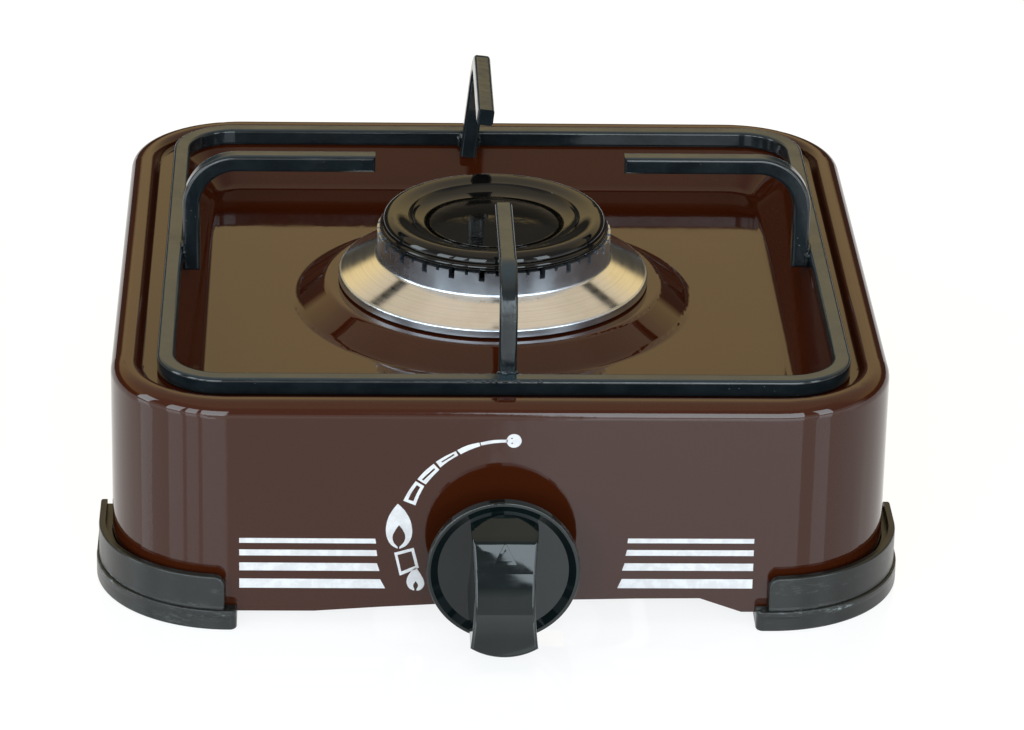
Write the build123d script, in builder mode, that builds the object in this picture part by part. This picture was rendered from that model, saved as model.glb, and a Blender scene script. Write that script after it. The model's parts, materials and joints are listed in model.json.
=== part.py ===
from build123d import *
import os
from math import atan2, cos, degrees, radians, sin, tan

# Single-burner tabletop gas stove, in millimetres.
# +Z is up, the front panel faces -Y, and the origin is on the ground under the burner's axis.

os.makedirs("parts", exist_ok=True)

# ---------------------------------------------------------------- driving sizes

# Fits between pieces
seat_gap = 0.2          # a lift-off piece above the piece it rests on
running_gap = 0.05      # radial play of a turning or sliding fit
slip_gap = 0.3          # radial play of a piece that drops into another
screw_gap = 0.3         # radial play of a screw in a plain hole
joint_gap = 0.02        # radial play of two pieces fixed together
axial_gap = 0.2         # end play of a turning or sliding piece
knob_stop_gap = 0.8     # play left in front of the panel when the knob is pushed in
ring_rim_gap = 4.8      # the pan support's ring inside the body's rim

cut_margin = 1.0        # how far a cutting shape runs past the face that it cuts
pick_margin = 1.0       # slack around a place by which edges are picked
tolerance = 0.01        # two measures this near are the same

# Pressed body
body_width = 260.0
body_height = 79.3
corner_radius = 40.0
sheet = 0.8
rim_width = 9.7
rim_outer_fillet = 5.0
rim_inner_fillet = 3.0
rim_inner_corner = 29.0
ledge_drop = 3.3
ledge_width = 8.8
ledge_inner_corner = 22.0
ledge_root_fillet = 1.6
ledge_edge_fillet = 3.0
tray_depth = 16.5
tray_slope_run = 11.5
tray_root_fillet = 4.0
dome_base_radius = 69.0
dome_top_radius = 59.0
dome_height = 6.9
dome_root_fillet = 5.0
dome_edge_fillet = 3.5
relief_left = -62.0
relief_shoulder = 66.0
relief_right = 80.0
relief_middle_height = 3.6
relief_height = 5.0

# Feet
foot_base_height = 4.6
foot_flange_height = 2.6
foot_flange_reach = 5.6
foot_band_reach = 4.7
foot_band_top = 19.2
foot_band_gap = 0.3
foot_front_arms = {-1: 38.5, 1: 41.3}   # left and right
foot_side_arm = 57.5
foot_flange_extra = 4.0
foot_sole_width = 12.0
foot_rib_thickness = 2.5
foot_rib_top = 17.0
foot_rib_setback = 4.0
foot_recess_width = 2.2
foot_recess_depth = 3.0
foot_end_radius = 2.4
foot_band_corner = 3.5
foot_edge_fillet = 0.8
foot_flange_fillet = 0.6
foot_band_fillet = 0.8
foot_screw_height = 12.0
foot_screw_radius = 1.45
foot_screw_bite = 3.2
foot_screw_head_radius = 2.8
foot_screw_head_height = 2.0
foot_screw_spotface = 0.1

# Pan support
bar = 6.0
bar_edge_fillet = 1.2
ring_corner_radius = 22.0
support_shift = 1.0     # the whole support sits this far to the right on its ledge
arm_top = 116.2
post_gap = 0.5          # the posts' lower ends above the tray's slope
arm_set = {             # direction, bend radius, tip reach, sideways shift and lean of each hand-welded arm
    "right": (0, 19.0, 44.0, 0.0, 0.0),
    "back": (90, 12.0, 44.0, -6.8, 6.3),
    "left": (180, 19.0, 42.6, 0.0, 0.0),
    "front": (270, 17.0, 44.0, -0.5, 0.0),
}

# Burner cup and its screws
cup_neck_radius = 26.6
cup_neck_wall = 2.6
cup_neck_rise = 2.8
cup_body_radius = 27.5
cup_foot_radius = 19.0
cup_bottom = 12.0
cup_wall = 3.0
cup_flange_radius = 41.0
cup_flange_thickness = 3.0
cup_socket_radius = 12.5
cup_socket_reach = 34.0
cup_screw_count = 3
cup_screw_pitch_radius = 35.0
cup_screw_start = 90.0
cup_screw_radius = 2.0
cup_screw_head_radius = 3.5
cup_screw_head_height = 2.2
cup_screw_bite = 4.2

# Burner head
lip_radius = 54.2
lip_thickness = 2.6
lip_height_above_dome = 0.8
lip_fillet = 0.6
cone_rise = 6.7
cone_wall = 2.4
port_wall_radius = 40.8
port_wall_thickness = 3.4
port_wall_height = 8.7
port_wall_root_fillet = 1.2
head_shoulder_width = 2.0
chamber_wall = 2.4
spigot_wall = 2.2
spigot_length = 12.0
port_count = 24
port_width = 2.1
port_depth = 3.0
notch_width = 1.2
notch_depth = 1.0

# Burner cap
cap_radius = 40.0
cap_bead_height = 2.4
cap_crease = 0.8
cap_height = 5.8
cap_crest_radius = 35.6
cap_step_radius = 30.0
cap_step_drop = 1.0
cap_dish_radius = 24.0
cap_dish_depth = 3.6
cap_lug_count = 4
cap_lug_width = 7.0
cap_lug_thickness = 2.0
cap_lug_length = 3.2

# Tap, on one axis with the knob
tap_axis_height = 26.8
tap_flange_thickness = 3.0
tap_flange_width = 12.0
tap_screw_spacing = 30.0
tap_screw_radius = 2.0
tap_screw_head_radius = 3.4
tap_screw_head_height = 2.2
tap_screw_length = 6.5
tap_barrel_radius = 10.0
tap_barrel_length = 30.0
tap_neck_radius = 7.5
tap_neck_length = 7.0
gland_radius = 7.0
gland_length = 6.4
gland_seat = 4.0
spring_room_radius = 6.5
plug_front_radius = 6.0
plug_rear_radius = 5.0
plug_length = 12.4
plug_back_wall = 2.2
plug_slot_length = 5.6
plug_slot_depth = 6.4
plug_bore_radius = 2.0
plug_port_margin = 0.8
gas_hole_radius = 1.6
full_flame_turn = 78.0
inlet_boss_radius = 7.0
inlet_boss_reach = 19.0
inlet_socket_depth = 8.0
stem_radius = 3.0
stem_collar_radius = 5.0
stem_collar_thickness = 2.0
stem_neck_length = 3.0
stem_flat = 2.0
stem_flat_length = 12.0
stem_reach = 20.0
blade_width = 5.0
blade_thickness = 2.4
blade_play = 0.1
spring_wire = 0.8
spring_radius = 4.4
spring_coils = 3.5
push_travel = 3.0

# Injector and mixing tube
injector_thread_radius = 4.0
injector_thread_length = 5.5
injector_hex_flats = 11.0
injector_hex_length = 6.0
injector_nose_radius = 3.0
injector_nose_length = 4.0
jet_radius = 0.4
jet_length = 1.5
air_gap = 5.0
tube_radius = 9.0
tube_wall = 1.0
tube_throat_radius = 7.2
tube_throat_length = 5.0
tube_mouth_radius = 14.0
tube_mouth_length = 12.0
tube_taper_length = 12.0
tube_seat_depth = 12.0

# Knob
knob_back_gap = 12.3
knob_rim_depth = 15.7
knob_radius = 25.2
knob_rim_width = 1.3
knob_rim_fillet = 0.6
knob_dish_depth = 1.5
knob_dish_run = 2.4
knob_reach = 36.5
knob_wall = 2.2
knob_hub_radius = 7.5
knob_bore_end = 20.2
grip_end_radius = 20.9
grip_half_width_end = 11.5
grip_half_width_waist = 9.9
grip_shoulder_reach = 25.6
grip_shoulder_height = 16.7
grip_shoulder_radius = 4.5
grip_crease_reach = 30.3
grip_crease_height = 6.6
grip_upper_radius = 77.0
grip_lower_radius = 66.0
grip_edge_fillet = 1.0
arrow_size = 4.3
arrow_line = 0.9
arrow_height = 0.4
arrow_centre_height = 11.7
clip_thickness = 0.5
clip_width = 3.4
clip_length = 9.0

# Gas pipe with its nut, rear inlet and hose tail
pipe_radius = 4.0
pipe_wall = 1.0
pipe_side = 50.0
pipe_bend_radius = 16.0
pipe_nut_flats = 17.0
pipe_nut_overlap = 5.0
pipe_nut_cap = 3.5
inlet_stub_radius = 7.0
inlet_stub_inside = 22.0
inlet_socket_length = 9.0
inlet_collar_flats = 19.0
inlet_collar_thickness = 3.0
lock_nut_thickness = 5.0
tail_radius = 5.0
tail_bore_radius = 2.6
tail_groove_count = 5
tail_groove_pitch = 5.0
tail_groove_width = 1.6
tail_groove_depth = 0.6
tail_groove_start = 8.0
tail_tip_chamfer = 1.0

# ---------------------------------------------------------------- places that follow from them

half = body_width / 2
shell_bottom = foot_base_height
panel_front = -half
panel_back = panel_front + sheet
rear_wall_inner = half - sheet
corner_centre = half - corner_radius

rim_inner = half - rim_width
ledge_inner = rim_inner - ledge_width
floor_half = ledge_inner - tray_slope_run
ledge_z = body_height - ledge_drop
floor_z = body_height - tray_depth
slope_angle = degrees(atan2(tray_slope_run, ledge_z - floor_z))
dome_top = floor_z + dome_height
dome_under = dome_top - sheet

rib_outer = -sheet - foot_band_gap
rib_inner = rib_outer - foot_rib_thickness
foot_screw_seat = corner_radius + rib_inner + foot_screw_spotface
foot_screw_end = corner_radius + foot_band_gap + foot_screw_bite

ring_bottom = ledge_z + seat_gap
ring_outer = rim_inner - ring_rim_gap
ring_inner = ring_outer - bar
ring_middle = ring_bottom + bar / 2
arm_rise = arm_top - ring_middle
arm_heel = ring_inner - bar

cup_mouth = dome_top + cup_neck_rise
cup_flange_bottom = dome_under - cup_flange_thickness
cup_inner = cup_neck_radius - cup_neck_wall

lip_bottom = dome_top + lip_height_above_dome
lip_top = lip_bottom + lip_thickness
wall_foot = lip_top + cone_rise
wall_top = wall_foot + port_wall_height
port_wall_inner = port_wall_radius - port_wall_thickness
head_seat = cup_mouth + seat_gap
spigot_outer = cup_inner - slip_gap
spigot_inner = spigot_outer - spigot_wall
cap_bottom = wall_top + seat_gap
cap_top = cap_bottom + cap_height
cap_crease_z = cap_bottom + cap_bead_height

barrel_end = panel_back + tap_barrel_length
neck_end = barrel_end + tap_neck_length
gland_back = panel_back + gland_seat
gland_front = gland_back - gland_length
collar_front = gland_back + axial_gap
collar_back = collar_front + stem_collar_thickness
plug_back = barrel_end - plug_back_wall
plug_front = plug_back - plug_length
slot_bottom = plug_front + plug_slot_depth
blade_start = collar_back + stem_neck_length
blade_end = slot_bottom - push_travel - knob_stop_gap
inlet_boss_y = plug_back - plug_port_margin - gas_hole_radius
injector_seat = neck_end - injector_thread_length
injector_shoulder = neck_end + injector_hex_length
injector_tip = injector_shoulder + injector_nose_length

tube_start = injector_tip + air_gap
throat_start = tube_start + tube_mouth_length
throat_end = throat_start + tube_throat_length
taper_end = throat_end + tube_taper_length
tube_end = -cup_socket_reach + tube_seat_depth

knob_back = panel_front - knob_back_gap
knob_rim = panel_front - knob_rim_depth
knob_floor = knob_rim + knob_dish_depth
knob_front = panel_front - knob_reach
knob_bore_bottom = panel_front - knob_bore_end
hub_back = gland_front - push_travel - knob_stop_gap
stem_front = panel_front - stem_reach
clip_flat = stem_flat + clip_thickness + joint_gap

pipe_start = inlet_boss_reach - inlet_socket_depth
inlet_stub_start = half - inlet_stub_inside
pipe_end = inlet_stub_start + inlet_socket_length
collar_rear = half + inlet_collar_thickness
tail_end = -knob_front

# Planes and axes: in the tap's plane, x runs to the rear and y up from the axis.
tap_plane = Plane(origin=(0, 0, tap_axis_height), x_dir=(0, 1, 0), z_dir=(1, 0, 0))
tap_axis = Axis((0, 0, tap_axis_height), (0, 1, 0))
boss_plane = Plane(origin=(0, inlet_boss_y, tap_axis_height), x_dir=(0, 1, 0), z_dir=(1, 0, 0))

corners = {
    "front_left": (-1, -1),
    "front_right": (1, -1),
    "rear_left": (-1, 1),
    "rear_right": (1, 1),
}


def across(y, x=0.0):
    """A plane across the tap's axis at y that faces the rear, with its x to the left and its y up."""
    return Plane(origin=(x, y, tap_axis_height), x_dir=(-1, 0, 0), z_dir=(0, 1, 0))


def corner_plane(sx, sy, distance):
    """A plane across a foot screw, at a distance out along the diagonal from the corner's centre."""
    return Plane(
        origin=(sx * corner_centre, sy * corner_centre, foot_screw_height),
        x_dir=(-sy, sx, 0),
        z_dir=(sx, sy, 0),
    ).offset(distance)


def turned(points, plane, axis, mode=Mode.ADD):
    """Revolve a closed outline of straight runs about an axis in its plane."""
    with BuildSketch(plane) as section:
        with BuildLine():
            Polyline(*points, close=True)
        make_face()
    revolve(section.sketch, axis, mode=mode)


def rod(plane, radius, length, mode=Mode.ADD):
    """Add or cut a round bar from a plane along the plane's normal."""
    with BuildSketch(plane) as section:
        Circle(radius)
    extrude(section.sketch, amount=length, mode=mode)


def bore(plane, radius, depth):
    """Cut a round hole from a plane along the plane's normal."""
    rod(plane, radius, depth, Mode.SUBTRACT)


def hex_bar(plane, flats, length):
    """Add a hexagonal bar, given across its flats, from a plane along the plane's normal."""
    with BuildSketch(plane) as section:
        RegularPolygon(flats / 2, 6, major_radius=False)
    extrude(section.sketch, amount=length)


def circles_at(piece, z, radius):
    """The round edges of a piece at a height and a radius about the burner's axis."""
    return piece.edges().filter_by(GeomType.CIRCLE).filter_by(
        lambda edge: abs(edge.center().Z - z) < tolerance and abs(edge.radius - radius) < tolerance
    )


def square_loop(piece, z, inside, outside):
    """The edges at a height that lie outside one square about the burner's axis and in or on another."""
    return piece.edges().filter_by_position(Axis.Z, z, z).filter_by(
        lambda edge: inside < max(abs((edge @ 0.5).X), abs((edge @ 0.5).Y)) - pick_margin < outside
    )


def save(piece, name):
    piece.part.label = name
    export_step(piece.part, f"parts/{name}.step")


# ---------------------------------------------------------------- pressed body

with BuildPart() as body_shell:
    with BuildSketch(Plane.XY.offset(shell_bottom)):
        RectangleRounded(body_width, body_width, corner_radius)
    extrude(amount=body_height - shell_bottom)

    # The rim stands above a ledge, and the tray sinks inside the ledge.
    with BuildSketch(Plane.XY.offset(body_height)):
        RectangleRounded(2 * rim_inner, 2 * rim_inner, rim_inner_corner)
    extrude(amount=-ledge_drop, mode=Mode.SUBTRACT)
    with BuildSketch(Plane.XY.offset(ledge_z)):
        RectangleRounded(2 * ledge_inner, 2 * ledge_inner, ledge_inner_corner)
    extrude(amount=-(ledge_z - floor_z), taper=slope_angle, mode=Mode.SUBTRACT)
    with Locations((0, 0, floor_z + dome_height / 2)):
        Cone(dome_base_radius, dome_top_radius, dome_height)

    # Press radii, from the rim down to the raised centre.
    fillet(square_loop(body_shell, body_height, rim_inner, half), rim_outer_fillet)
    fillet(square_loop(body_shell, body_height, ledge_inner, rim_inner), rim_inner_fillet)
    fillet(square_loop(body_shell, ledge_z, ledge_inner, rim_inner), ledge_root_fillet)
    fillet(square_loop(body_shell, ledge_z, floor_half, ledge_inner), ledge_edge_fillet)
    fillet(square_loop(body_shell, floor_z, dome_base_radius, floor_half), tray_root_fillet)
    fillet(square_loop(body_shell, floor_z, 0, dome_base_radius), dome_root_fillet)
    fillet(square_loop(body_shell, dome_top, 0, dome_top_radius), dome_edge_fillet)

    # One sheet all over, open below.
    offset(amount=-sheet, openings=body_shell.faces().sort_by(Axis.Z)[0])

    # Holes for the burner cup's neck and its screws.
    with BuildSketch(Plane.XY.offset(dome_top + cut_margin)):
        Circle(cup_neck_radius + slip_gap)
        with PolarLocations(cup_screw_pitch_radius, cup_screw_count, start_angle=cup_screw_start):
            Circle(cup_screw_radius + screw_gap)
    extrude(amount=-(sheet + 2 * cut_margin), mode=Mode.SUBTRACT)

    # Holes for the tap in the front panel, the hose tail in the rear wall and the foot screws.
    with BuildSketch(across(panel_front - cut_margin)):
        Circle(gland_radius + slip_gap)
        with GridLocations(tap_screw_spacing, 1, 2, 1):
            Circle(tap_screw_radius + screw_gap)
    extrude(amount=sheet + 2 * cut_margin, mode=Mode.SUBTRACT)
    bore(across(rear_wall_inner - cut_margin, pipe_side), inlet_stub_radius + slip_gap,
         sheet + 2 * cut_margin)
    for sx, sy in corners.values():
        bore(corner_plane(sx, sy, corner_radius - sheet - cut_margin), foot_screw_radius + screw_gap,
             sheet + 2 * cut_margin)

    # The trimmed lower edge rises a little across the front.
    with BuildSketch(Plane.XZ.offset(half + cut_margin)):
        with BuildLine():
            ThreePointArc(
                (relief_left, shell_bottom),
                (0, shell_bottom + relief_middle_height),
                (relief_shoulder, shell_bottom + relief_height),
            )
            Polyline(
                (relief_shoulder, shell_bottom + relief_height),
                (relief_right, shell_bottom),
                (relief_right, shell_bottom - cut_margin),
                (relief_left, shell_bottom - cut_margin),
                (relief_left, shell_bottom),
            )
        make_face()
    extrude(amount=-(sheet + 2 * cut_margin), mode=Mode.SUBTRACT)
save(body_shell, "body_shell")

# ---------------------------------------------------------------- feet


def foot_strip(sx, sy, z, outer, inner, extra, end_radius=0.0):
    """The plan of a strip round a body corner, between two distances outside the body's wall."""
    end_x = half - foot_front_arms[sx] - extra
    end_y = half - foot_side_arm - extra
    with BuildSketch(Plane.XY.offset(z)) as strip:
        RectangleRounded(body_width + 2 * outer, body_width + 2 * outer, corner_radius + outer)
        RectangleRounded(
            body_width + 2 * inner, body_width + 2 * inner, corner_radius + inner, mode=Mode.SUBTRACT
        )
        with Locations((sx * (end_x + half), sy * (end_y + half))):
            Rectangle(body_width, body_width, mode=Mode.INTERSECT)
        if end_radius > 0:
            ends = strip.vertices().filter_by(
                lambda v: abs(abs(v.X) - end_x) < tolerance or abs(abs(v.Y) - end_y) < tolerance
            )
            fillet(ends, end_radius)
    return strip.sketch


for corner, (sx, sy) in corners.items():
    with BuildPart() as foot:
        # Sole under the body's edge, with a flange that stands up outside it.
        extrude(
            foot_strip(sx, sy, 0, foot_flange_reach, -foot_sole_width, foot_flange_extra, foot_end_radius),
            amount=foot_base_height + foot_flange_height,
        )
        with BuildSketch(Plane.XY.offset(foot_base_height)):
            RectangleRounded(
                body_width + 2 * foot_band_gap, body_width + 2 * foot_band_gap,
                corner_radius + foot_band_gap,
            )
        extrude(amount=foot_flange_height, mode=Mode.SUBTRACT)
        fillet(foot.faces().sort_by(Axis.Z)[0].edges(), foot_edge_fillet)
        fillet(foot.faces().sort_by(Axis.Z)[-1].edges(), foot_flange_fillet)

        # Band outside the wall, with its end corners rounded and its inner edge set back.
        extrude(
            foot_strip(sx, sy, foot_base_height, foot_band_reach, foot_band_gap, 0),
            amount=foot_band_top - foot_base_height,
        )
        band_ends = foot.faces().sort_by(Axis.Z)[-1].edges().filter_by(GeomType.LINE).filter_by(
            lambda edge: abs(edge.length - (foot_band_reach - foot_band_gap)) < tolerance
        )
        fillet(band_ends, foot_band_corner)
        band_top = foot.faces().sort_by(Axis.Z)[-1].edges().sort_by(Edge.length)
        fillet(band_top[-1], foot_band_fillet)
        extrude(
            foot_strip(sx, sy, foot_band_top - foot_recess_depth, foot_band_gap + foot_recess_width,
                       foot_band_gap, foot_flange_extra),
            amount=foot_recess_depth,
            mode=Mode.SUBTRACT,
        )

        # Rib inside the wall: the sheet stands in the slot between rib and band.
        extrude(
            foot_strip(sx, sy, 0, rib_outer, rib_inner, -foot_rib_setback),
            amount=foot_rib_top,
        )

        # Screw hole on the corner's diagonal, with a flat seat for the head on the rib.
        bore(corner_plane(sx, sy, foot_screw_seat - foot_rib_thickness), foot_screw_head_radius + slip_gap,
             foot_rib_thickness)
        bore(corner_plane(sx, sy, foot_screw_seat), foot_screw_radius + joint_gap,
             foot_screw_end - foot_screw_seat)
    save(foot, f"foot_{corner}")

with BuildPart() as foot_screws:
    for sx, sy in corners.values():
        rod(corner_plane(sx, sy, foot_screw_seat - foot_screw_head_height), foot_screw_head_radius,
            foot_screw_head_height)
        rod(corner_plane(sx, sy, foot_screw_seat), foot_screw_radius, foot_screw_end - foot_screw_seat)
save(foot_screws, "foot_screws")

# ---------------------------------------------------------------- pan support

with BuildPart() as pan_support_ring:
    with BuildSketch(Plane((support_shift, 0, ring_bottom))):
        RectangleRounded(2 * ring_outer, 2 * ring_outer, ring_corner_radius)
        RectangleRounded(2 * ring_inner, 2 * ring_inner, ring_corner_radius - bar, mode=Mode.SUBTRACT)
    extrude(amount=bar)
    fillet(pan_support_ring.faces().filter_by(Axis.Z).edges(), bar_edge_fillet)
save(pan_support_ring, "pan_support_ring")

# Four square bars, bent once, each with its post against the ring's inner face, and its heights taken
# from the ring's middle.
for side, (angle, bend, reach, shift, lean) in arm_set.items():
    outward = Vector(cos(radians(angle)), sin(radians(angle)), 0)
    sideways = outward.rotate(Axis.Z, -90)
    foot = Vector(support_shift, 0, ring_middle) + sideways * shift
    middle_plane = Plane(origin=foot, x_dir=outward, z_dir=sideways.rotate(Axis((0, 0, 0), outward), lean))
    lean_cos, lean_sin = cos(radians(lean)), sin(radians(lean))
    top = bar_edge_fillet + (arm_rise - bar_edge_fillet - (bar / 2 - bar_edge_fillet) * lean_sin) / lean_cos
    # The post ends above the tray's slope.
    reach_of_slope = ledge_inner - ring_inner - support_shift * outward.X
    post_bottom = ledge_z - reach_of_slope / tan(radians(slope_angle)) + post_gap - ring_middle
    with BuildPart() as arm:
        with BuildSketch(middle_plane):
            with BuildLine():
                FilletPolyline((ring_inner, post_bottom), (ring_inner, top), (reach, top), radius=bend)
                Line((reach, top), (reach, top - bar))
                FilletPolyline(
                    (reach, top - bar), (arm_heel, top - bar), (arm_heel, post_bottom), radius=bend - bar
                )
                Line((arm_heel, post_bottom), (ring_inner, post_bottom))
            make_face()
        extrude(amount=bar / 2, both=True)
        flanks = arm.faces().filter_by(
            lambda face: abs(face.normal_at().dot(middle_plane.z_dir)) > 1 - tolerance
        )
        fillet(flanks.edges(), bar_edge_fillet)
    save(arm, f"pan_support_arm_{side}")

# ---------------------------------------------------------------- burner cup, its screws and the mixing tube

with BuildPart() as burner_cup:
    turned([
        (0, cup_bottom),
        (cup_foot_radius, cup_bottom),
        (cup_foot_radius + cup_wall, cup_bottom + cup_wall),
        (cup_body_radius, cup_flange_bottom),
        (cup_flange_radius, cup_flange_bottom),
        (cup_flange_radius, dome_under),
        (cup_neck_radius, dome_under),
        (cup_neck_radius, cup_mouth),
        (0, cup_mouth),
    ], Plane.XZ, Axis.Z)
    rod(across(-cup_socket_reach), cup_socket_radius, cup_socket_reach - cup_foot_radius)
    turned([
        (0, cup_bottom + cup_wall),
        (cup_foot_radius - cup_wall, cup_bottom + cup_wall),
        (cup_foot_radius, cup_bottom + 2 * cup_wall),
        (cup_inner, cup_mouth - spigot_length - cup_wall),
        (cup_inner, cup_mouth),
        (0, cup_mouth),
    ], Plane.XZ, Axis.Z, Mode.SUBTRACT)
    bore(across(-cup_socket_reach), tube_radius + joint_gap, cup_socket_reach - cup_foot_radius + cup_wall)
    with BuildSketch(Plane.XY.offset(dome_under)):
        with PolarLocations(cup_screw_pitch_radius, cup_screw_count, start_angle=cup_screw_start):
            Circle(cup_screw_radius + joint_gap)
    extrude(amount=-cup_flange_thickness, mode=Mode.SUBTRACT)
save(burner_cup, "burner_cup")

with BuildPart() as burner_cup_screws:
    for radius, length in (
        (cup_screw_head_radius, cup_screw_head_height),
        (cup_screw_radius, -cup_screw_bite),
    ):
        with BuildSketch(Plane.XY.offset(dome_top)):
            with PolarLocations(cup_screw_pitch_radius, cup_screw_count, start_angle=cup_screw_start):
                Circle(radius)
        extrude(amount=length)
save(burner_cup_screws, "burner_cup_screws")

# Thin tube: a bell mouth behind the injector, a throat, and a taper into the cup's socket.
with BuildPart() as mixing_tube:
    with BuildSketch(tap_plane):
        with BuildLine():
            throat = tube_throat_radius - tube_wall / 2
            TangentArc(
                (throat_start, throat), (tube_start, tube_mouth_radius - tube_wall / 2), tangent=(-1, 0)
            )
            Polyline(
                (throat_start, throat),
                (throat_end, throat),
                (taper_end, tube_radius - tube_wall / 2),
                (tube_end, tube_radius - tube_wall / 2),
            )
        trace(line_width=tube_wall)
    revolve(axis=tap_axis)
save(mixing_tube, "mixing_tube")

# ---------------------------------------------------------------- burner head and cap

with BuildPart() as burner_head:
    shoulder = cup_neck_radius + head_shoulder_width
    under_wall_z = wall_foot - cone_wall / 2
    turned([
        (spigot_inner, cup_mouth - spigot_length),
        (spigot_outer, cup_mouth - spigot_length),
        (spigot_outer, head_seat),
        (shoulder, head_seat),
        (port_wall_inner - chamber_wall, under_wall_z),
        (port_wall_inner, under_wall_z),
        (lip_radius - cone_wall, lip_top - cone_wall),
        (lip_radius - cone_wall, lip_bottom),
        (lip_radius, lip_bottom),
        (lip_radius, lip_top),
        (port_wall_radius, wall_foot),
        (port_wall_radius, wall_top),
        (port_wall_inner, wall_top),
        (port_wall_inner, under_wall_z + chamber_wall),
        (port_wall_inner - chamber_wall, under_wall_z + chamber_wall),
        (shoulder, head_seat + chamber_wall),
        (spigot_inner, head_seat + chamber_wall),
    ], Plane.XZ, Axis.Z)
    fillet(circles_at(burner_head, wall_foot, port_wall_radius), port_wall_root_fillet)
    fillet(circles_at(burner_head, lip_top, lip_radius), lip_fillet)

    # Deep ports and shallow notches take turns round the top of the wall, a notch at the front.
    for width, depth, start in (
        (notch_width, notch_depth, 0),
        (port_width, port_depth, 180 / port_count),
    ):
        with BuildSketch(Plane.XY.offset(wall_top)):
            with PolarLocations(port_wall_radius, port_count, start_angle=start - 90):
                Rectangle(3 * port_wall_thickness, width)
        extrude(amount=-depth, mode=Mode.SUBTRACT)
save(burner_head, "burner_head")

# Two beads round the rim, with a crease between them, and a dish inside the crest.
with BuildPart() as burner_cap:
    crease_radius = cap_radius - cap_crease
    dish_z = cap_top - cap_dish_depth
    roll_radius = (crease_radius + cap_crest_radius) / 2 + cap_crease
    roll_z = (cap_crease_z + cap_top) / 2 + cap_crease
    step_z = cap_top - cap_step_drop
    with BuildSketch(Plane.XZ):
        with BuildLine():
            Polyline((crease_radius, cap_bottom), (0, cap_bottom), (0, dish_z), (cap_dish_radius, dish_z))
            ThreePointArc(
                (crease_radius, cap_bottom),
                (cap_radius, (cap_bottom + cap_crease_z) / 2),
                (crease_radius, cap_crease_z),
            )
            ThreePointArc((crease_radius, cap_crease_z), (roll_radius, roll_z), (cap_crest_radius, cap_top))
            Spline(
                (cap_crest_radius, cap_top),
                (cap_step_radius, step_z),
                tangents=[(-1, 0), (-1, -0.1)],
            )
            Spline(
                (cap_step_radius, step_z),
                (cap_dish_radius, dish_z),
                tangents=[(-0.6, -1), (-1, -0.1)],
            )
        make_face()
    revolve(axis=Axis.Z)
    # Lugs under the cap centre it inside the port wall.
    with BuildSketch(Plane.XY.offset(cap_bottom)):
        with PolarLocations(
            port_wall_inner - slip_gap - cap_lug_thickness / 2, cap_lug_count, start_angle=45
        ):
            Rectangle(cap_lug_thickness, cap_lug_width)
        Circle(port_wall_inner - slip_gap, mode=Mode.INTERSECT)
    extrude(amount=-cap_lug_length)
save(burner_cap, "burner_cap")

# ---------------------------------------------------------------- tap

with BuildPart() as tap_body:
    with BuildSketch(across(panel_back)):
        SlotCenterToCenter(tap_screw_spacing, tap_flange_width)
    extrude(amount=tap_flange_thickness)
    rod(across(panel_back), tap_barrel_radius, tap_barrel_length)
    rod(across(barrel_end), tap_neck_radius, tap_neck_length)
    rod(boss_plane, inlet_boss_radius, inlet_boss_reach)

    # Inside: gland seat, spring room, taper seat, passage and injector thread.
    bore(across(panel_back), gland_radius + joint_gap, gland_seat)
    bore(across(gland_back), spring_room_radius, plug_front - axial_gap - gland_back)
    turned([
        (plug_front - axial_gap, 0),
        (plug_front - axial_gap, plug_front_radius + running_gap),
        (plug_back + axial_gap, plug_rear_radius + running_gap),
        (plug_back + axial_gap, 0),
    ], tap_plane, tap_axis, Mode.SUBTRACT)
    bore(across(plug_back), injector_nose_radius, injector_seat - plug_back)
    bore(across(injector_seat), injector_thread_radius + joint_gap, injector_thread_length)

    # Gas inlet from the side, and the two screw holes.
    bore(boss_plane, gas_hole_radius, inlet_boss_reach)
    bore(boss_plane.offset(pipe_start), pipe_radius + joint_gap, inlet_socket_depth)
    with BuildSketch(across(panel_back)):
        with GridLocations(tap_screw_spacing, 1, 2, 1):
            Circle(tap_screw_radius + joint_gap)
    extrude(amount=tap_flange_thickness, mode=Mode.SUBTRACT)
save(tap_body, "tap_body")

with BuildPart() as tap_screws:
    for plane, radius, length in (
        (across(panel_front - tap_screw_head_height), tap_screw_head_radius, tap_screw_head_height),
        (across(panel_front), tap_screw_radius, tap_screw_length),
    ):
        with BuildSketch(plane):
            with GridLocations(tap_screw_spacing, 1, 2, 1):
                Circle(radius)
        extrude(amount=length)
save(tap_screws, "tap_screws")

with BuildPart() as tap_gland:
    rod(across(gland_front), gland_radius, gland_length)
    bore(across(gland_front), stem_radius + running_gap, gland_length)
save(tap_gland, "tap_gland")

with BuildPart() as tap_plug:
    turned([
        (plug_front, 0),
        (plug_front, plug_front_radius),
        (plug_back, plug_rear_radius),
        (plug_back, 0),
    ], tap_plane, tap_axis)
    with BuildSketch(across(plug_front)):
        Rectangle(plug_slot_length, blade_thickness + 2 * blade_play)
    extrude(amount=plug_slot_depth, mode=Mode.SUBTRACT)
    bore(across(inlet_boss_y), plug_bore_radius, plug_back - inlet_boss_y)
    # The side port meets the inlet once the knob has turned to the full flame.
    port_direction = (cos(radians(full_flame_turn)), 0, -sin(radians(full_flame_turn)))
    bore(
        Plane(origin=(0, inlet_boss_y, tap_axis_height), x_dir=(0, 1, 0), z_dir=port_direction),
        gas_hole_radius,
        plug_front_radius,
    )
save(tap_plug, "tap_plug")

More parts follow.
